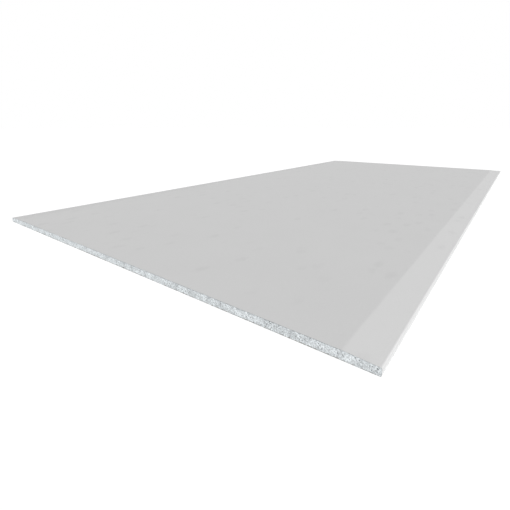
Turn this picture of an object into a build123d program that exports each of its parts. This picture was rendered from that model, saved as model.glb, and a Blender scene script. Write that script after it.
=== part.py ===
from build123d import *
import os

# A drywall sheet lying face up: a gypsum core cast between a face paper and a back paper.
#
# The face paper covers the crown and both tapers, folds round the long edges and lies under the back
# as two flaps, which the back paper overlaps. The two ends are cut square, so the core and both papers
# show there.
#
# X runs across the sheet, Y along it and Z up, in millimetres. The origin is the middle of the back, on
# the floor.

# The sheet as it is sold, papers included
WIDTH = 1220.0
LENGTH = 2440.0
THICKNESS = 15.9

# Tapered long edges of the face
TAPER_WIDTH = 55.0
TAPER_DEPTH = 2.5
CROWN_BLEND_RADIUS = 100.0  # how softly the crown rolls over into each taper

# Long edges, as the core is moulded
ARRIS_RADIUS = 1.8  # core's corner between the taper and the edge
HEEL_RADIUS = 0.8  # core's corner between the edge and the back

# Papers
FACE_PAPER = 0.4
BACK_PAPER = 0.4
FLAP_WIDTH = 25.0  # face paper folded under the back, from the outside of the edge
BACK_PAPER_SETBACK = 8.0  # the back paper stops this far short of the long edge


def at_height(sketch, height):
    """Moves a section up to the given height above the floor."""
    return Pos(0, height) * sketch


def wrapped_section():
    """Outline of the core and the face paper together, from the back paper up to the crown."""
    half = WIDTH / 2
    crown_half = half - TAPER_WIDTH
    edge_top = THICKNESS - TAPER_DEPTH
    heel_left, heel_right = (-half, BACK_PAPER), (half, BACK_PAPER)
    arris_left, arris_right = (-half, edge_top), (half, edge_top)
    crown_left, crown_right = (-crown_half, THICKNESS), (crown_half, THICKNESS)
    outline = make_face(
        Polyline(
            heel_left, heel_right, arris_right, crown_right, crown_left, arris_left, close=True
        )
    )
    heels, arrises, crowns = outline.vertices().group_by(Axis.Y)
    outline = fillet(heels, HEEL_RADIUS + FACE_PAPER)
    outline = fillet(nearest_corners(outline, arrises), ARRIS_RADIUS + FACE_PAPER)
    return fillet(nearest_corners(outline, crowns), CROWN_BLEND_RADIUS)


def nearest_corners(outline, corners):
    """The corners of an outline that lie where the given corners were before it was last rounded."""
    return [outline.vertices().sort_by_distance(corner)[0] for corner in corners]


def core_section(wrapped):
    """The core fills the wrap and, between the flaps, meets the back paper."""
    inside_wrap = offset(wrapped, -FACE_PAPER)
    between_flaps = Rectangle(
        WIDTH - 2 * FLAP_WIDTH, FACE_PAPER, align=(Align.CENTER, Align.MIN)
    )
    return inside_wrap + at_height(between_flaps, BACK_PAPER)


def back_paper_section():
    """A flat sheet under the core, over the inner part of both flaps."""
    return Rectangle(
        WIDTH - 2 * BACK_PAPER_SETBACK, BACK_PAPER, align=(Align.CENTER, Align.MIN)
    )


def along_sheet(section):
    """Runs a section along the whole length of the sheet, half to each side of the origin."""
    return extrude(Plane.XZ * section, LENGTH / 2, both=True)


def build():
    """Each piece of the sheet, by its name."""
    wrapped = wrapped_section()
    core = core_section(wrapped)
    return {
        "gypsum_core": along_sheet(core),
        "face_paper": along_sheet(wrapped - core),
        "back_paper": along_sheet(back_paper_section()),
    }


os.makedirs("parts", exist_ok=True)
for name, piece in build().items():
    export_step(piece, f"parts/{name}.step")
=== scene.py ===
"""Looks of the drywall sheet: gypsum core, face paper, back paper, and the stage they are shown on."""

import math

import bmesh
import bpy
from mathutils import Matrix, Vector, noise


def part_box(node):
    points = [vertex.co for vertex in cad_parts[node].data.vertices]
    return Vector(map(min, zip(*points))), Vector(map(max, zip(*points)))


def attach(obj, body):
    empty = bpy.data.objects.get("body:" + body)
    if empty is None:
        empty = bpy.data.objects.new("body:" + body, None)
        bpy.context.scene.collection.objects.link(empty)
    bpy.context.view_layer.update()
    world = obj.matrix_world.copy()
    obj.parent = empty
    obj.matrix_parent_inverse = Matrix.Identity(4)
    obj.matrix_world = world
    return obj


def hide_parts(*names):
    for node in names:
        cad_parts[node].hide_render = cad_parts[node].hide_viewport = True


bl_info = {
    "name": "Drywall Sheet",
    "version": (1, 0, 0),
    "blender": (4, 5, 0),
    "location": "3D View > Sidebar > Drywall",
    "description": "Builds a paper-faced gypsum board with tapered edges and cut ends",
    "category": "Object",
}

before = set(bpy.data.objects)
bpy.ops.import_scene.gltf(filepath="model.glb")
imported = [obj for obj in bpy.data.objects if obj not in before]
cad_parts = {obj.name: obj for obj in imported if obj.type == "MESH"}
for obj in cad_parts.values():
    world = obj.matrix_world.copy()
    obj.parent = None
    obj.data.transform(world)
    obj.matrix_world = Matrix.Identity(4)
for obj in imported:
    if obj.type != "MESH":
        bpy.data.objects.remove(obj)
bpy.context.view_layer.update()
MM = 0.001

# The sheet's sizes, from the frame
FACE_LOW, FACE_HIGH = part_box("face_paper")
BACK_LOW, BACK_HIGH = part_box("back_paper")
CORE_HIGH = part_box("gypsum_core")[1]
HALF_WIDTH = FACE_HIGH.x
BACK_HALF_WIDTH = BACK_HIGH.x
NEAR_END = FACE_LOW.y
LENGTH = FACE_HIGH.y - FACE_LOW.y
THICKNESS = FACE_HIGH.z - BACK_LOW.z
FACE_PAPER = FACE_HIGH.x - CORE_HIGH.x
BACK_PAPER = BACK_HIGH.z - BACK_LOW.z


# Sizes and colours that a user may change


def length_setting(name, description, millimetres, least=0.0):
    """A length, given in millimetres and kept in metres."""
    return bpy.props.FloatProperty(
        name=name, description=description, default=millimetres * MM, min=least * MM, unit="LENGTH"
    )


def colour_setting(name, description, rgb):
    """A linear colour."""
    return bpy.props.FloatVectorProperty(
        name=name, description=description, default=rgb, subtype="COLOR", min=0.0, max=1.0
    )


def gain_setting(name, description, value):
    """A factor on a colour."""
    return bpy.props.FloatProperty(
        name=name, description=description, default=value, subtype="FACTOR", min=0.0, max=2.0
    )


class SheetSettings(bpy.types.PropertyGroup):
    """Sizes of the section and of the rough cut ends."""

    taper_width: length_setting("Taper width", "From the long edge to the crown", 55, least=10)
    taper_depth: length_setting("Taper depth", "How far the long edge lies below the crown", 2.5)
    crown_radius: length_setting("Crown radius", "Roll of the paper from crown to taper", 100)
    arris_radius: length_setting("Arris radius", "Outer round between taper and edge", 2.2)
    heel_radius: length_setting("Heel radius", "Outer round between edge and back", 1.2)
    flap_width: length_setting("Flap width", "Face paper folded under the back", 25)
    grain: length_setting("Core grain", "Spacing of the points on a cut end", 0.7, least=0.5)
    pit_size: length_setting("Pit size", "Spacing of the pores in a cut end", 2.5, least=0.5)
    pit_depth: length_setting("Pit depth", "Depth of the deepest pores", 1.1)
    fray: length_setting("Fray", "How far a cut paper edge strays from the cut", 0.25)


class ColourSettings(bpy.types.PropertyGroup):
    """Linear colours of the two papers and the core, with the colour of the painted shade in the core's
    pits and the painted light that makes the right taper paler.
    """

    face: colour_setting("Face", "Face paper on the crown", (0.592, 0.592, 0.592))
    core: colour_setting("Core", "Cut gypsum", (0.816, 0.856, 0.876))
    # Painted shade: the colour that the cut gypsum is drawn toward deep in its pits, in bubbles and along
    # the crushed lines.
    painted_shade: colour_setting("Pore", "Gypsum deep in a pore", (0.33, 0.35, 0.36))
    back: colour_setting("Back", "Back paper", (0.41, 0.385, 0.35))
    # Painted light: the right taper's paper is drawn paler, standing in for the key light from the right.
    right_taper_painted_light: gain_setting("Taper gain", "Paper of the right taper, beside the crown's", 1.055)
    edge_gain: gain_setting("Edge gain", "Paper at the top of a long edge", 0.97)
    heel_gain: gain_setting("Heel gain", "Paper at the foot of a long edge", 1.07)
    face_dust: gain_setting("Face dust", "Face paper's cut edge, beside the core's colour", 0.5)
    back_dust: gain_setting("Back dust", "Back paper's cut edge, beside the core's colour", 0.72)


# Gypsum core

CORE_ROUND = 2 * MM  # strip along each long edge where the columns of points follow the rounds
CORE_ROUND_STEPS = 9
FLAP_STEP = 0.01 * MM  # half the run over which the core's underside steps up onto a flap
FLAP_CLEAR_SHARE = 0.3  # a column nearer to the flap's end than this share of the grain is left out

PIT_BEND_SIZE = 2.4 * MM  # size of the bends in the pits' rims
PIT_BEND = 0.9 * MM  # how far those bends reach
PIT_VARIETY = 5.3  # how unlike each other neighbouring pits are
PIT_WIDE_SPAN = (-0.45, 0.6)  # noise at which pits are narrowest and widest
PIT_SHALLOW_SHARE = 0.3  # depth of the narrowest pits, as a share of the deepest
PIT_FLOOR_SHARE = 0.25  # flat bottom of the widest pits, as a share of their spacing
PIT_RIM_SHARES = (0.12, 0.5)  # rim of the narrowest pits, and what the widest add
POWDER_SIZE = 1.6 * MM
POWDER_DEPTH = 0.3 * MM
CRUSH_SPAN = (0.2 * MM, 1.1 * MM)  # from a paper, where the crushed line starts to fade and ends
CRUSH_DEPTH = 0.8 * MM
CRUSH_PATCH = 7 * MM
CRUSH_PATCH_SPAN = (-0.4, 0.5)  # noise at which a patch is whole and fully crushed
TAPER_SPAN = (-8 * MM, 4 * MM)  # across the crown's limit, where the crushed line changes
TAPER_CRUSH_SHARE = 0.4  # how much of the crushed line is left in a taper


def smooth(span, value):
    """0 before the span, 1 after it, and a smooth step between."""
    share = min(1, max(0, (value - span[0]) / (span[1] - span[0])))
    return share * share * (3 - 2 * share)


class CoreSection:
    """Top and bottom of the core across the sheet, inside the papers."""

    def __init__(self, sizes):
        """Finds the middles of the rounds, which the core and the face paper share."""
        slope = math.atan2(sizes.taper_depth, sizes.taper_width)
        self.sine, self.cosine = math.sin(slope), math.cos(slope)
        self.half_width = HALF_WIDTH - FACE_PAPER
        self.flap_end = HALF_WIDTH - sizes.flap_width
        self.crown_end = HALF_WIDTH - sizes.taper_width
        self.crown_radius = sizes.crown_radius - FACE_PAPER
        self.arris_radius = sizes.arris_radius - FACE_PAPER
        self.heel_radius = sizes.heel_radius - FACE_PAPER
        self.crown_x = self.crown_end - sizes.crown_radius * math.tan(slope / 2)
        self.crown_z = THICKNESS - sizes.crown_radius
        self.arris_x = HALF_WIDTH - sizes.arris_radius
        taper_z = THICKNESS - (self.arris_x - self.crown_end) * math.tan(slope)
        self.arris_z = taper_z - sizes.arris_radius / self.cosine
        self.heel_x = HALF_WIDTH - sizes.heel_radius
        self.heel_z = BACK_PAPER + sizes.heel_radius

    def top(self, x):
        """Height of the core's face: crown, roll, taper, then arris."""
        x = abs(x)
        if x <= self.crown_x:
            return THICKNESS - FACE_PAPER
        if x <= self.crown_x + self.crown_radius * self.sine:
            return self.crown_z + math.sqrt(self.crown_radius**2 - (x - self.crown_x) ** 2)
        if x <= self.arris_x + self.arris_radius * self.sine:
            return self.arris_z + (self.arris_radius - (x - self.arris_x) * self.sine) / self.cosine
        return self.arris_z + math.sqrt(max(0, self.arris_radius**2 - (x - self.arris_x) ** 2))

    def bottom(self, x):
        """Height of the core's underside: on the back paper, on a flap of the face paper, then heel."""
        x = abs(x)
        if x <= self.flap_end:
            return BACK_PAPER
        if x <= self.heel_x:
            return BACK_PAPER + FACE_PAPER
        return self.heel_z - math.sqrt(max(0, self.heel_radius**2 - (x - self.heel_x) ** 2))

    def columns(self, grain):
        """Places across the sheet, a grain apart, and closer at the flaps' ends and the rounded edges."""
        plain = self.half_width - CORE_ROUND
        count = math.ceil(plain / grain)
        right = [plain * i / count for i in range(1, count + 1)]
        right = [x for x in right if abs(x - self.flap_end) > FLAP_CLEAR_SHARE * grain]
        right += [self.flap_end - FLAP_STEP, self.flap_end + FLAP_STEP]
        for i in range(1, CORE_ROUND_STEPS + 1):
            angle = math.pi / 2 * i / CORE_ROUND_STEPS
            right.append(plain + CORE_ROUND * math.sin(angle))
        right.sort()
        return [-x for x in reversed(right)] + [0.0] + right


def core_end(section, grain):
    """A fine grid over the core's near end."""
    places = section.columns(grain)
    across = len(places) - 1
    bm = bmesh.new()
    bmesh.ops.create_grid(bm, x_segments=across, y_segments=math.ceil(THICKNESS / grain), size=1)
    for vert in bm.verts:
        x = places[round((vert.co.x + 1) / 2 * across)]
        low, high = section.bottom(x), section.top(x)
        vert.co = (x, NEAR_END, low + (high - low) * (vert.co.y + 1) / 2)
    return bm


def pit_at(place, sizes):
    """Depth of the pores: bent cells, some wide and deep, some narrow and shallow."""
    bent = place + noise.noise_vector(place / PIT_BEND_SIZE) * PIT_BEND
    distances, middles = noise.voronoi(bent / sizes.pit_size)
    wide = smooth(PIT_WIDE_SPAN, noise.noise(middles[0] * PIT_VARIETY))
    wall = (PIT_FLOOR_SHARE * wide, PIT_RIM_SHARES[0] + PIT_RIM_SHARES[1] * wide)
    depth = sizes.pit_depth * (PIT_SHALLOW_SHARE + (1 - PIT_SHALLOW_SHARE) * wide)
    return depth * (1 - smooth(wall, distances[0]))


def crush_at(place, section):
    """Depth of the crushed lines under the two papers, patchy and shallower in the tapers."""
    from_paper = min(section.top(place.x) - place.z, place.z - section.bottom(place.x))
    patch = smooth(CRUSH_PATCH_SPAN, noise.noise(place / CRUSH_PATCH))
    in_taper = smooth(TAPER_SPAN, abs(place.x) - section.crown_end)
    left = 1 - (1 - TAPER_CRUSH_SHARE) * in_taper
    return CRUSH_DEPTH * (1 - smooth(CRUSH_SPAN, from_paper)) * patch * left


def core_depth(place, sizes, section):
    """How far a point of the core's end lies behind the cut: pores, powder and crushed lines together."""
    powder = POWDER_DEPTH * abs(rough(place, POWDER_SIZE))
    return pit_at(place, sizes) + powder + crush_at(place, section)


# Papers

PAPER_STEP = 1 * MM  # spacing of the points along a cut paper edge
HEEL_STEPS = 10
ARRIS_STEPS = 12
CROWN_STEPS = 6
FACE_FRAY_SIZE = 4 * MM
BACK_FRAY_SIZE = 5 * MM
BACK_FRAY_GAIN = 1.4
BACK_FRAY_PLACE = Vector((3.1, 0.0, 0.0))  # so that the two papers don't fray alike


def face_paper_line(sizes):
    """The face paper's outside across the near end: edges between corners, rounded, then cut short."""
    slope = math.atan2(sizes.taper_depth, sizes.taper_width)
    corners = [
        (HALF_WIDTH - sizes.flap_width, BACK_PAPER),
        (HALF_WIDTH, BACK_PAPER),
        (HALF_WIDTH, THICKNESS - sizes.taper_depth),
        (HALF_WIDTH - sizes.taper_width, THICKNESS),
    ]
    corners += [(-x, z) for x, z in reversed(corners)]
    rounds = (
        (1, sizes.heel_radius, math.pi / 2, HEEL_STEPS),
        (2, sizes.arris_radius, math.pi / 2 - slope, ARRIS_STEPS),
        (3, sizes.crown_radius, slope, CROWN_STEPS),
    )
    bm = bmesh.new()
    verts = [bm.verts.new((x, NEAR_END, z)) for x, z in corners]
    for start, end in zip(verts, verts[1:]):
        bm.edges.new((start, end))
    for index, radius, turn, steps in rounds:
        bmesh.ops.bevel(
            bm,
            geom=[verts[index], verts[-1 - index]],
            offset=radius * math.tan(turn / 2),
            offset_type="OFFSET",
            segments=steps,
            profile=0.5,
            affect="VERTICES",
            material=-1,
        )
    for edge in bm.edges[:]:
        cuts = round(edge.calc_length() / PAPER_STEP) - 1
        if cuts > 0:
            bmesh.ops.subdivide_edges(bm, edges=[edge], cuts=cuts)
    return bm


def back_paper_box():
    """The back paper as a box, cut into short steps across the sheet."""
    width = 2 * BACK_HALF_WIDTH
    bm = bmesh.new()
    bmesh.ops.create_cube(bm, size=1)
    bmesh.ops.scale(bm, verts=bm.verts[:], vec=(width, LENGTH, BACK_PAPER))
    bmesh.ops.translate(bm, verts=bm.verts[:], vec=(0, 0, BACK_PAPER / 2))
    across = [edge for edge in bm.edges if edge.verts[0].co.x * edge.verts[1].co.x < 0]
    bmesh.ops.subdivide_edges(bm, edges=across, cuts=round(width / PAPER_STEP) - 1)
    return bm


# Steps that the pieces share

END_PLACE = 0.37  # where the noise of each end is read, on either side, so that the ends differ
ROUGH_FALL, ROUGH_STEP, ROUGH_OCTAVES = 1.0, 2.0, 3
DEPTH_LAYER = "depth"
SHARP_ANGLE = math.radians(35)


def run_along(bm, made):
    """Moves what an extrusion made from the near end to the far end."""
    far = [item for item in made["geom"] if isinstance(item, bmesh.types.BMVert)]
    bmesh.ops.translate(bm, verts=far, vec=(0, LENGTH, 0))
    bmesh.ops.recalc_face_normals(bm, faces=bm.faces[:])


def rough(place, size):
    """Signed noise with features of about that size, and finer ones in them."""
    return noise.fractal(place / size, ROUGH_FALL, ROUGH_STEP, ROUGH_OCTAVES)


def roughen(bm, depth_at):
    """Sinks the points of both ends into the sheet by the depth found at each, and notes that depth."""
    noted = bm.verts.layers.float.new(DEPTH_LAYER)
    for vert in bm.verts:
        side = math.copysign(1, vert.co.y)
        depth = depth_at(Vector((vert.co.x, side * END_PLACE, vert.co.z)))
        vert.co.y -= side * depth
        vert[noted] = depth


def finish_piece(context, bm, name, node, material):
    """Makes the mesh an object that stands for a node of the frame."""
    if not all(edge.is_manifold for edge in bm.edges):
        raise RuntimeError(f"the mesh of {name} is not closed")
    mesh = bpy.data.meshes.new(name)
    bm.to_mesh(mesh)
    bm.free()
    mesh.materials.append(material)
    mesh.shade_smooth()
    mesh.set_sharp_from_angle(angle=SHARP_ANGLE)
    piece = bpy.data.objects.new(name, mesh)
    context.scene.collection.objects.link(piece)
    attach(piece, "root")
    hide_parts(node)


# Shader nodes

NOISE_MIDDLE = 0.5
MATTE_SPECULAR = 0.12


class Nodes:
    """Starts the nodes of a material, world or node group afresh, and adds and links them."""

    def __init__(self, tree):
        self.tree = tree
        tree.nodes.clear()

    def add(self, kind, inputs=None, **settings):
        """A node with the given settings. Its inputs are values, or sockets to link, by name or number."""
        node = self.tree.nodes.new(kind)
        for name, value in settings.items():
            setattr(node, name, value)
        for key, value in (inputs or {}).items():
            self.feed(value, node.inputs[key])
        return node

    def feed(self, value, socket):
        """Links a socket to another, or sets its value."""
        if isinstance(value, bpy.types.NodeSocket):
            self.tree.links.new(value, socket)
        else:
            socket.default_value = value

    def maths(self, operation, first, second=0.0):
        """The result of an operation on one or two values."""
        return self.add("ShaderNodeMath", {0: first, 1: second}, operation=operation).outputs[0]

    def plus(self, first, second):
        """The first value and the second added."""
        return self.maths("ADD", first, second)

    def minus(self, first, second):
        """The first value less the second."""
        return self.maths("SUBTRACT", first, second)

    def times(self, first, second):
        """The first value times the second."""
        return self.maths("MULTIPLY", first, second)

    def most(self, first, second):
        """The larger of two values."""
        return self.maths("MAXIMUM", first, second)

    def ramp(self, value, span, ends=(0.0, 1.0), kind="SMOOTHSTEP"):
        """Goes from the first end to the second as the value crosses the span."""
        inputs = {
            "Value": value,
            "From Min": span[0],
            "From Max": span[1],
            "To Min": ends[0],
            "To Max": ends[1],
        }
        return self.add("ShaderNodeMapRange", inputs, interpolation_type=kind).outputs["Result"]

    def axes(self, vector):
        """The three parts of a vector, as outputs X, Y and Z."""
        return self.add("ShaderNodeSeparateXYZ", {"Vector": vector}).outputs

    def stretch(self, place, scale):
        """A place scaled along each axis."""
        return self.add("ShaderNodeMapping", {"Vector": place, "Scale": scale}).outputs[0]

    def noise_node(self, place, size, detail, fade):
        """Outputs of noise with features of about that size."""
        inputs = {"Vector": place, "Scale": 1 / size, "Detail": detail, "Roughness": fade}
        return self.add("ShaderNodeTexNoise", inputs).outputs

    def cloud(self, place, size, detail=3.0, fade=0.55):
        """Noise from 0 to 1."""
        return self.noise_node(place, size, detail, fade)["Fac"]

    def swing(self, place, size, detail=3.0, fade=0.55):
        """Noise about 0."""
        return self.minus(self.cloud(place, size, detail, fade), NOISE_MIDDLE)

    def cells(self, place, spacing):
        """Outputs of scattered points: Distance to the nearest, in spacings, and that point's own Color."""
        return self.add("ShaderNodeTexVoronoi", {"Vector": place, "Scale": 1 / spacing}).outputs

    def chosen(self, cells, span):
        """A share of each cell's own, 0 for the cells before the span and 1 for those after it."""
        number = self.add("ShaderNodeSeparateColor", {"Color": cells["Color"]}).outputs[0]
        return self.ramp(number, span)

    def mix(self, share, first, second):
        """Goes from the first value to the second."""
        return self.add("ShaderNodeMix", {0: share, 2: first, 3: second}, data_type="FLOAT").outputs[0]

    def blend(self, share, first, second, kind="MIX"):
        """Goes from the first colour to the second, or to their blend."""
        inputs = {0: share, 6: first, 7: second}
        return self.add("ShaderNodeMix", inputs, data_type="RGBA", blend_type=kind).outputs[2]

    def gained(self, value, colour):
        """A colour times a value."""
        grey = self.add("ShaderNodeCombineXYZ", {0: value, 1: value, 2: value}).outputs[0]
        return self.blend(1.0, grey, colour, "MULTIPLY")


def opaque(rgb):
    """A colour with its alpha."""
    return (*rgb, 1.0)


class Finish(Nodes):
    """A new matte material that reads Object coordinates."""

    def __init__(self, name):
        self.material = bpy.data.materials.new(name)
        self.material.use_nodes = True
        super().__init__(self.material.node_tree)
        self.shader = self.add("ShaderNodeBsdfPrincipled", {"Specular IOR Level": MATTE_SPECULAR})
        self.add("ShaderNodeOutputMaterial", {"Surface": self.shader.outputs[0]})
        where = self.add("ShaderNodeTexCoord").outputs
        self.place, self.normal = where["Object"], where["Normal"]

    def close(self, base, height, bump, roughness):
        """Feeds colour, bump and roughness to the shader, and gives the material."""
        normal = self.add("ShaderNodeBump", {"Height": height, "Strength": 1.0, "Distance": bump})
        self.feed(base, self.shader.inputs["Base Color"])
        self.feed(roughness, self.shader.inputs["Roughness"])
        self.feed(normal.outputs[0], self.shader.inputs["Normal"])
        return self.material


# Paper, the same for both sides but for its strengths

PAPER_GROUP = "paper"
MOTTLE_SIZE = 140 * MM
MOTTLE_DETAIL = 4.0
FIBRE_SIZE = 1.1 * MM
FIBRE_STRETCH = (1.0, 0.35, 1.0)  # the fibres lie along the sheet
FIBRE_DETAIL, FIBRE_FADE = 4.0, 0.65
FIBRE_SPAN = (-0.3, 0.3)
SPECK_SPACING = 9 * MM
SPECK_SPAN = (0.03, 0.08)  # a speck's middle and rim, in spacings
SPECK_PATCH = 23 * MM
SPECK_PATCH_DETAIL = 1.0
SPECK_PATCH_SPAN = (0.52, 0.62)
CUT_NORMAL_SPAN = (0.4, 0.7)  # how far a surface faces along the sheet before it counts as cut


def paper_group():
    """A paper's fibres, mottling and specks as a gain and a height, and a mask of its cut edges."""
    tree = bpy.data.node_groups.new(PAPER_GROUP, "ShaderNodeTree")
    for name in ("Place", "Normal"):
        tree.interface.new_socket(name, in_out="INPUT", socket_type="NodeSocketVector")
    for name in ("Mottle", "Fibre", "Speck"):
        tree.interface.new_socket(name, in_out="INPUT", socket_type="NodeSocketFloat")
    for name in ("Gain", "Height", "Cut"):
        tree.interface.new_socket(name, in_out="OUTPUT", socket_type="NodeSocketFloat")
    group = Nodes(tree)
    given = group.add("NodeGroupInput").outputs
    place = given["Place"]
    broad = group.swing(place, MOTTLE_SIZE, MOTTLE_DETAIL)
    fine = group.swing(group.stretch(place, FIBRE_STRETCH), FIBRE_SIZE, FIBRE_DETAIL, FIBRE_FADE)
    speck = group.ramp(group.cells(place, SPECK_SPACING)["Distance"], SPECK_SPAN, (1.0, 0.0))
    patch = group.ramp(group.cloud(place, SPECK_PATCH, SPECK_PATCH_DETAIL), SPECK_PATCH_SPAN)
    speck = group.times(speck, patch)
    total = group.plus(1.0, group.times(broad, given["Mottle"]))
    total = group.plus(total, group.times(fine, given["Fibre"]))
    total = group.minus(total, group.times(speck, given["Speck"]))
    along = group.maths("ABSOLUTE", group.axes(given["Normal"])["Y"])
    cut = group.ramp(along, CUT_NORMAL_SPAN)
    group.add("NodeGroupOutput", {"Gain": total, "Height": fine, "Cut": cut})
    return tree


def paper_outputs(finish, mottle, fibre, speck):
    """Outputs of the paper group, placed in a paper's material with its own strengths."""
    tree = bpy.data.node_groups.get(PAPER_GROUP) or paper_group()
    inputs = {
        "Place": finish.place,
        "Normal": finish.normal,
        "Mottle": mottle,
        "Fibre": fibre,
        "Speck": speck,
    }
    return finish.add("ShaderNodeGroup", inputs, node_tree=tree).outputs


def paper_colour(finish, paper, base, gypsum, dust):
    """A paper's colour with gypsum dust on the cut edges, and the paper's own gain."""
    dusty = opaque([dust * part for part in gypsum])
    return finish.gained(paper["Gain"], finish.blend(paper["Cut"], base, dusty))


# Face paper's finish

FACE_MOTTLE, FACE_FIBRE, FACE_SPECK = 0.03, 0.1, 0.06
FACE_BUMP = 0.07 * MM
FACE_ROUGHNESS = (0.82, 0.94)
SPOT_SPACING = 42 * MM
SPOT_STRETCH = (1.0, 0.55, 1.0)
SPOT_SPAN = (0.08, 0.36)  # a spot's middle and rim, in spacings
SPOT_CHOICE_SPAN = (0.15, 0.7)
SPOT_RAGGED_SIZE = 14 * MM
SPOT_RAGGED = 0.5
SPOT_SHADE = 0.04
TAPER_WANDER_SIZE = 90 * MM
TAPER_WANDER = 4 * MM
LIT_TAPER_START = (-2 * MM, 3 * MM)  # past the crown, where the painted light of the right taper comes in
EDGE_START_SHARES = (1.0, 0.3)  # of the arris radius, in from the edge, where the edge's own gains come in
EDGE_HEIGHTS = (1 * MM, 11 * MM)  # foot and top of the change of gain up a long edge


def spots(finish):
    """Gain of the faint soft darker spots scattered over the face."""
    along = finish.stretch(finish.place, SPOT_STRETCH)
    cells = finish.cells(along, SPOT_SPACING)
    ragged = finish.times(finish.swing(along, SPOT_RAGGED_SIZE), SPOT_RAGGED)
    spot = finish.ramp(finish.plus(cells["Distance"], ragged), SPOT_SPAN, (1.0, 0.0))
    spot = finish.times(spot, finish.chosen(cells, SPOT_CHOICE_SPAN))
    return finish.minus(1.0, finish.times(spot, SPOT_SHADE))


def face_paper_material(sizes, colours):
    """Light grey paper with painted light making the right taper paler, paler at the foot of the edges,
    dusty where it is cut.
    """
    finish = Finish("face paper")
    paper = paper_outputs(finish, FACE_MOTTLE, FACE_FIBRE, FACE_SPECK)
    axes = finish.axes(finish.place)
    crown_end = HALF_WIDTH - sizes.taper_width
    wander = finish.times(finish.swing(finish.place, TAPER_WANDER_SIZE), TAPER_WANDER)
    taper_span = [crown_end + start for start in LIT_TAPER_START]
    # Painted light: only the right taper (x past the crown's end) is made paler, where the key from the
    # right falls.
    in_taper = finish.ramp(finish.plus(axes["X"], wander), taper_span)
    edge_span = [HALF_WIDTH - share * sizes.arris_radius for share in EDGE_START_SHARES]
    on_edge = finish.ramp(finish.maths("ABSOLUTE", axes["X"]), edge_span)
    edge = finish.ramp(axes["Z"], EDGE_HEIGHTS, (colours.heel_gain, colours.edge_gain))
    total = finish.plus(1.0, finish.times(in_taper, colours.right_taper_painted_light - 1))
    total = finish.mix(on_edge, total, edge)
    total = finish.times(total, spots(finish))
    roughness = finish.ramp(paper["Height"], FIBRE_SPAN, FACE_ROUGHNESS)
    base = finish.gained(total, opaque(colours.face))
    base = paper_colour(finish, paper, base, colours.core, colours.face_dust)
    return finish.close(base, paper["Height"], FACE_BUMP, roughness)


# Back paper's finish

BACK_MOTTLE, BACK_FIBRE, BACK_SPECK = 0.2, 0.5, 0.35
BACK_BUMP = 0.12 * MM
BACK_ROUGHNESS = (0.86, 0.98)
BACK_WARM_SIZE = 6 * MM
BACK_PLAIN, BACK_WARM = (1.0, 1.0, 1.0), (1.04, 1.0, 0.94)  # tints that the paper wanders between


def back_paper_material(colours):
    """Coarser grey-brown paper with more specks, dusty where it is cut."""
    finish = Finish("back paper")
    paper = paper_outputs(finish, BACK_MOTTLE, BACK_FIBRE, BACK_SPECK)
    warm = finish.cloud(finish.place, BACK_WARM_SIZE)
    base = finish.blend(warm, opaque(BACK_PLAIN), opaque(BACK_WARM))
    base = finish.blend(1.0, base, opaque(colours.back), "MULTIPLY")
    roughness = finish.ramp(paper["Height"], FIBRE_SPAN, BACK_ROUGHNESS)
    base = paper_colour(finish, paper, base, colours.core, colours.back_dust)
    return finish.close(base, paper["Height"], BACK_BUMP, roughness)


# Gypsum's finish

GYPSUM_POWDER_SIZE = 0.6 * MM
GYPSUM_POWDER_DETAIL, GYPSUM_POWDER_FADE = 3.0, 0.7
GYPSUM_POWDER_SPAN = (0.3, 0.7)
GYPSUM_POWDER_GAINS = (0.93, 1.05)
GYPSUM_BUMP = 0.3 * MM
GYPSUM_ROUGHNESS = (0.9, 1.0)
PORE_RAGGED = 0.9 * MM
PORE_SHADE_SPAN = (0.25 * MM, 0.95 * MM)  # depths at which the painted shade in a pit starts and is darkest
PORE_BUMP_SHARE = 0.8
BUBBLE_SHARE = 0.5  # spacing of the small bubbles, as a share of the pits'
BUBBLE_BEND_SIZE = 1.3 * MM
BUBBLE_BEND_DETAIL, BUBBLE_BEND_FADE = 2.0, 0.5
BUBBLE_BEND = 1.8 * MM
BUBBLE_SPAN = (0.08, 0.4)  # a bubble's middle and rim, in spacings
BUBBLE_CHOICE_SPAN = (0.25, 0.7)
BUBBLE_SHADE = 0.6
GRAIN_SIZE = 2.6 * MM
GRAIN_DETAIL = 2.0
GRAIN_SPAN = (0.34, 0.66)
GRAIN_GAINS = (0.78, 1.17)
PATCH_SIZE = 16 * MM
PATCH_SPAN = (0.32, 0.68)
PATCH_GAINS = (0.84, 1.11)
# Painted shade: how dark the crushed lines along the papers are drawn.
SEAM_SHADE = 0.37
SEAM_UNDER_FACE = (0.7 * MM, 1.7 * MM)  # depth under the face paper where the seam fades
SEAM_OVER_BACK = (0.2 * MM, 0.9 * MM)
SEAM_BACK_SHARE = 0.3
SEAM_TAPER_SHARE = 0.35
SEAM_PATCH = 9 * MM
SEAM_PATCH_SPAN = (0.28, 0.5)
SEAM_PATCH_LEAST = 0.35


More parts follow.
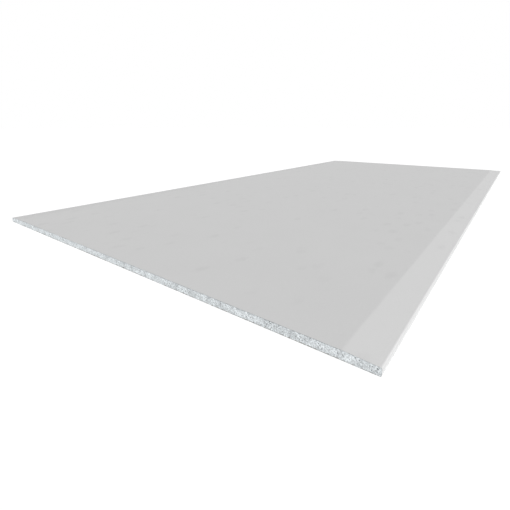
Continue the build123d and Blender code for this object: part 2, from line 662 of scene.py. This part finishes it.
def crush_shade_mask(finish, sizes):
    """Painted shade: up to 1 along the papers on a cut end, where the core is crushed and lies in shade,
    and 0 away from them.
    """
    axes = finish.axes(finish.place)
    past = finish.minus(finish.maths("ABSOLUTE", axes["X"]), HALF_WIDTH - sizes.taper_width)
    fall = finish.times(finish.most(past, 0.0), sizes.taper_depth / sizes.taper_width)
    under_face = finish.minus(THICKNESS - FACE_PAPER, finish.plus(axes["Z"], fall))
    upper = finish.ramp(under_face, SEAM_UNDER_FACE, (1.0, 0.0))
    upper = finish.times(upper, finish.ramp(past, TAPER_SPAN, (1.0, SEAM_TAPER_SHARE)))
    lower = finish.ramp(finish.minus(axes["Z"], BACK_PAPER), SEAM_OVER_BACK, (SEAM_BACK_SHARE, 0.0))
    patch = finish.ramp(finish.cloud(finish.place, SEAM_PATCH), SEAM_PATCH_SPAN, (SEAM_PATCH_LEAST, 1.0))
    return finish.times(finish.most(upper, lower), patch)


def bubble_shade(finish, sizes):
    """Painted shade of small bent bubbles between the pits: some of them drawn as dark spots."""
    stray = finish.noise_node(finish.place, BUBBLE_BEND_SIZE, BUBBLE_BEND_DETAIL, BUBBLE_BEND_FADE)["Color"]
    inputs = {0: stray, 1: (NOISE_MIDDLE,) * 3}
    stray = finish.add("ShaderNodeVectorMath", inputs, operation="SUBTRACT").outputs[0]
    inputs = {0: stray, 1: (BUBBLE_BEND,) * 3, 2: finish.place}
    bent = finish.add("ShaderNodeVectorMath", inputs, operation="MULTIPLY_ADD").outputs[0]
    cells = finish.cells(bent, BUBBLE_SHARE * sizes.pit_size)
    dark = finish.ramp(cells["Distance"], BUBBLE_SPAN, (BUBBLE_SHADE, 0.0))
    return finish.times(dark, finish.chosen(cells, BUBBLE_CHOICE_SPAN))


def gypsum_material(sizes, colours):
    """Chalky cut gypsum: pale, with painted shade in the pits, the small bubbles and the crushed lines, and
    a powdery grain.
    """
    finish = Finish("gypsum")
    place = finish.place
    powder = finish.cloud(place, GYPSUM_POWDER_SIZE, GYPSUM_POWDER_DETAIL, GYPSUM_POWDER_FADE)
    depth = finish.add("ShaderNodeAttribute", attribute_name=DEPTH_LAYER).outputs["Fac"]
    ragged = finish.times(finish.minus(powder, NOISE_MIDDLE), PORE_RAGGED)
    # Painted shade: the gypsum is drawn darker as a pit gets deeper, where shade falls.
    painted_shade = finish.ramp(finish.plus(depth, ragged), PORE_SHADE_SPAN)
    # Painted shade of small bubbles, which the mesh does not hollow out.
    painted_shade = finish.most(painted_shade, bubble_shade(finish, sizes))
    # Painted shade along the crushed lines under the two papers.
    painted_shade = finish.most(painted_shade, finish.times(crush_shade_mask(finish, sizes), SEAM_SHADE))
    base = finish.blend(painted_shade, opaque(colours.core), opaque(colours.painted_shade))
    grain = finish.ramp(finish.cloud(place, GRAIN_SIZE, GRAIN_DETAIL), GRAIN_SPAN, GRAIN_GAINS)
    patch = finish.ramp(finish.cloud(place, PATCH_SIZE), PATCH_SPAN, PATCH_GAINS, "LINEAR")
    total = finish.ramp(powder, GYPSUM_POWDER_SPAN, GYPSUM_POWDER_GAINS, "LINEAR")
    total = finish.times(finish.times(total, grain), patch)
    height = finish.minus(powder, finish.times(painted_shade, PORE_BUMP_SHARE))
    roughness = finish.ramp(powder, GYPSUM_POWDER_SPAN, GYPSUM_ROUGHNESS)
    return finish.close(finish.gained(total, base), height, GYPSUM_BUMP, roughness)


# Operators, one for each piece and one for the stage


class SHEET_OT_core(bpy.types.Operator):
    """Builds the gypsum core with its rough cut ends"""

    bl_idname = "sheet.core"
    bl_label = "Gypsum core"

    def execute(self, context):
        sizes, colours = context.scene.sheet_sizes, context.scene.sheet_colours
        section = CoreSection(sizes)
        bm = core_end(section, sizes.grain)
        run_along(bm, bmesh.ops.extrude_face_region(bm, geom=bm.faces[:], use_keep_orig=True))
        roughen(bm, lambda place: core_depth(place, sizes, section))
        finish_piece(context, bm, "core_body", "gypsum_core", gypsum_material(sizes, colours))
        return {"FINISHED"}


class SHEET_OT_face_paper(bpy.types.Operator):
    """Builds the face paper, wrapped round both long edges and folded under the back"""

    bl_idname = "sheet.face_paper"
    bl_label = "Face paper"

    def execute(self, context):
        sizes, colours = context.scene.sheet_sizes, context.scene.sheet_colours
        bm = face_paper_line(sizes)
        run_along(bm, bmesh.ops.extrude_edge_only(bm, edges=bm.edges[:]))
        bmesh.ops.solidify(bm, geom=bm.faces[:], thickness=FACE_PAPER)
        roughen(bm, lambda place: sizes.fray * rough(place, FACE_FRAY_SIZE))
        finish_piece(context, bm, "face_wrap", "face_paper", face_paper_material(sizes, colours))
        return {"FINISHED"}


class SHEET_OT_back_paper(bpy.types.Operator):
    """Builds the back paper over the core and the two flaps"""

    bl_idname = "sheet.back_paper"
    bl_label = "Back paper"

    def execute(self, context):
        sizes, colours = context.scene.sheet_sizes, context.scene.sheet_colours
        fray = BACK_FRAY_GAIN * sizes.fray
        bm = back_paper_box()
        roughen(bm, lambda place: fray * rough(place + BACK_FRAY_PLACE, BACK_FRAY_SIZE))
        finish_piece(context, bm, "back_sheet", "back_paper", back_paper_material(colours))
        return {"FINISHED"}


# Stage

FLOOR_HALF = 60.0
FLOOR_DROP = 0.2 * MM  # keeps the floor off the sheet's back
FLOOR_TOUCH = 1 * MM  # the floor is clear to rays shorter than this, so that the back is lit from below
FLOOR_GREY = (0.82, 0.82, 0.82)
FLOOR_LIFT = 0.24  # brings the lit floor to white for the camera
WHITE = (1.0, 1.0, 1.0)
SKY_LIGHT, SKY_SEEN = 0.45, 1.0
KEY_STRENGTH = 3.0
KEY_SPREAD = math.radians(50)
KEY_TURN, KEY_RISE = math.radians(-17), math.radians(34.5)
KEY_DISTANCE = 4.0
CAMERA_PLACE = (0.70796, -1.60006, 0.30388)
CAMERA_TURN, CAMERA_RISE = math.radians(36.76), math.radians(14.95)
CAMERA_SENSOR, CAMERA_LENS = 36.0, 24.145
CAMERA_SHIFT = (-0.0151, -0.0725)
CAMERA_CLIP = (0.01, 200.0)


class SHEET_OT_stage(bpy.types.Operator):
    """Sets the white floor, the light and the camera"""

    bl_idname = "sheet.stage"
    bl_label = "Stage"

    def execute(self, context):
        self.floor(context)
        self.sky(context)
        self.key(context)
        self.camera(context)
        context.scene.view_settings.view_transform = "Standard"
        return {"FINISHED"}

    def floor(self, context):
        """A white floor that keeps the sheet's shadow."""
        bm = bmesh.new()
        bmesh.ops.create_grid(bm, x_segments=1, y_segments=1, size=FLOOR_HALF)
        bmesh.ops.translate(bm, verts=bm.verts[:], vec=(0, 0, -FLOOR_DROP))
        mesh = bpy.data.meshes.new("floor")
        bm.to_mesh(mesh)
        bm.free()
        mesh.materials.append(self.floor_material())
        floor = bpy.data.objects.new("floor", mesh)
        context.scene.collection.objects.link(floor)

    def floor_material(self):
        """White to the camera where nothing shades it, and clear from below."""
        material = bpy.data.materials.new("floor")
        material.use_nodes = True
        nodes = Nodes(material.node_tree)
        path = nodes.add("ShaderNodeLightPath").outputs
        lift = nodes.times(path["Is Camera Ray"], FLOOR_LIFT)
        matte = nodes.add("ShaderNodeBsdfDiffuse", {"Color": opaque(FLOOR_GREY)}).outputs[0]
        glow = nodes.add("ShaderNodeEmission", {"Color": opaque(WHITE), "Strength": lift}).outputs[0]
        lit = nodes.add("ShaderNodeAddShader", {0: matte, 1: glow}).outputs[0]
        clear = nodes.add("ShaderNodeBsdfTransparent").outputs[0]
        below = nodes.add("ShaderNodeNewGeometry").outputs["Backfacing"]
        touching = nodes.maths("LESS_THAN", path["Ray Length"], FLOOR_TOUCH)
        inputs = {0: nodes.most(below, touching), 1: lit, 2: clear}
        surface = nodes.add("ShaderNodeMixShader", inputs).outputs[0]
        nodes.add("ShaderNodeOutputMaterial", {"Surface": surface})
        return material

    def sky(self, context):
        """Even light from all round, seen as white."""
        world = bpy.data.worlds.new("sky")
        context.scene.world = world
        world.use_nodes = True
        nodes = Nodes(world.node_tree)
        path = nodes.add("ShaderNodeLightPath").outputs
        seen = nodes.most(path["Is Camera Ray"], path["Is Glossy Ray"])
        seen = nodes.most(seen, path["Is Transmission Ray"])
        strength = nodes.mix(seen, SKY_LIGHT, SKY_SEEN)
        sky = nodes.add("ShaderNodeBackground", {"Color": opaque(WHITE), "Strength": strength}).outputs[0]
        nodes.add("ShaderNodeOutputWorld", {"Surface": sky})

    def key(self, context):
        """A broad soft light from the right."""
        light = bpy.data.lights.new("key", "SUN")
        light.energy = KEY_STRENGTH
        light.angle = KEY_SPREAD
        key = bpy.data.objects.new("key", light)
        level = math.cos(KEY_RISE)
        way = Vector((math.cos(KEY_TURN) * level, math.sin(KEY_TURN) * level, math.sin(KEY_RISE)))
        key.rotation_euler = way.to_track_quat("Z", "Y").to_euler()
        key.location = KEY_DISTANCE * way
        context.scene.collection.objects.link(key)

    def camera(self, context):
        """A wide lens near one corner, just above the sheet."""
        data = bpy.data.cameras.new("camera")
        data.sensor_width = CAMERA_SENSOR
        data.lens = CAMERA_LENS
        data.shift_x, data.shift_y = CAMERA_SHIFT
        data.clip_start, data.clip_end = CAMERA_CLIP
        camera = bpy.data.objects.new("camera", data)
        level = math.cos(CAMERA_RISE)
        sine, cosine = math.sin(CAMERA_TURN), math.cos(CAMERA_TURN)
        back = Vector((sine * level, -cosine * level, math.sin(CAMERA_RISE)))
        right = Vector((cosine, sine, 0.0))
        up = back.cross(right)
        turned = Matrix((right, up, back)).transposed().to_4x4()
        camera.matrix_world = Matrix.Translation(CAMERA_PLACE) @ turned
        context.scene.collection.objects.link(camera)
        context.scene.camera = camera


# Panel and registration


class SHEET_PT_panel(bpy.types.Panel):
    """Sizes, colours and steps in the sidebar"""

    bl_idname = "SHEET_PT_panel"
    bl_label = "Drywall sheet"
    bl_space_type = "VIEW_3D"
    bl_region_type = "UI"
    bl_category = "Drywall"

    def draw(self, context):
        for settings in (context.scene.sheet_sizes, context.scene.sheet_colours):
            column = self.layout.column()
            for name in settings.__annotations__:
                column.prop(settings, name)
        for operator in OPERATORS:
            self.layout.operator(operator.bl_idname)


OPERATORS = (SHEET_OT_core, SHEET_OT_face_paper, SHEET_OT_back_paper, SHEET_OT_stage)
CLASSES = (SheetSettings, ColourSettings, *OPERATORS, SHEET_PT_panel)


def register():
    """Adds the settings, the operators and the panel to Blender."""
    for item in CLASSES:
        bpy.utils.register_class(item)
    bpy.types.Scene.sheet_sizes = bpy.props.PointerProperty(type=SheetSettings)
    bpy.types.Scene.sheet_colours = bpy.props.PointerProperty(type=ColourSettings)


def unregister():
    """Takes them out again, in the opposite order."""
    del bpy.types.Scene.sheet_colours
    del bpy.types.Scene.sheet_sizes
    for item in reversed(CLASSES):
        bpy.utils.unregister_class(item)


def main():
    """Builds the sheet and its stage."""
    register()
    bpy.ops.sheet.core()
    bpy.ops.sheet.face_paper()
    bpy.ops.sheet.back_paper()
    bpy.ops.sheet.stage()


if __name__ == "__main__":
    main()
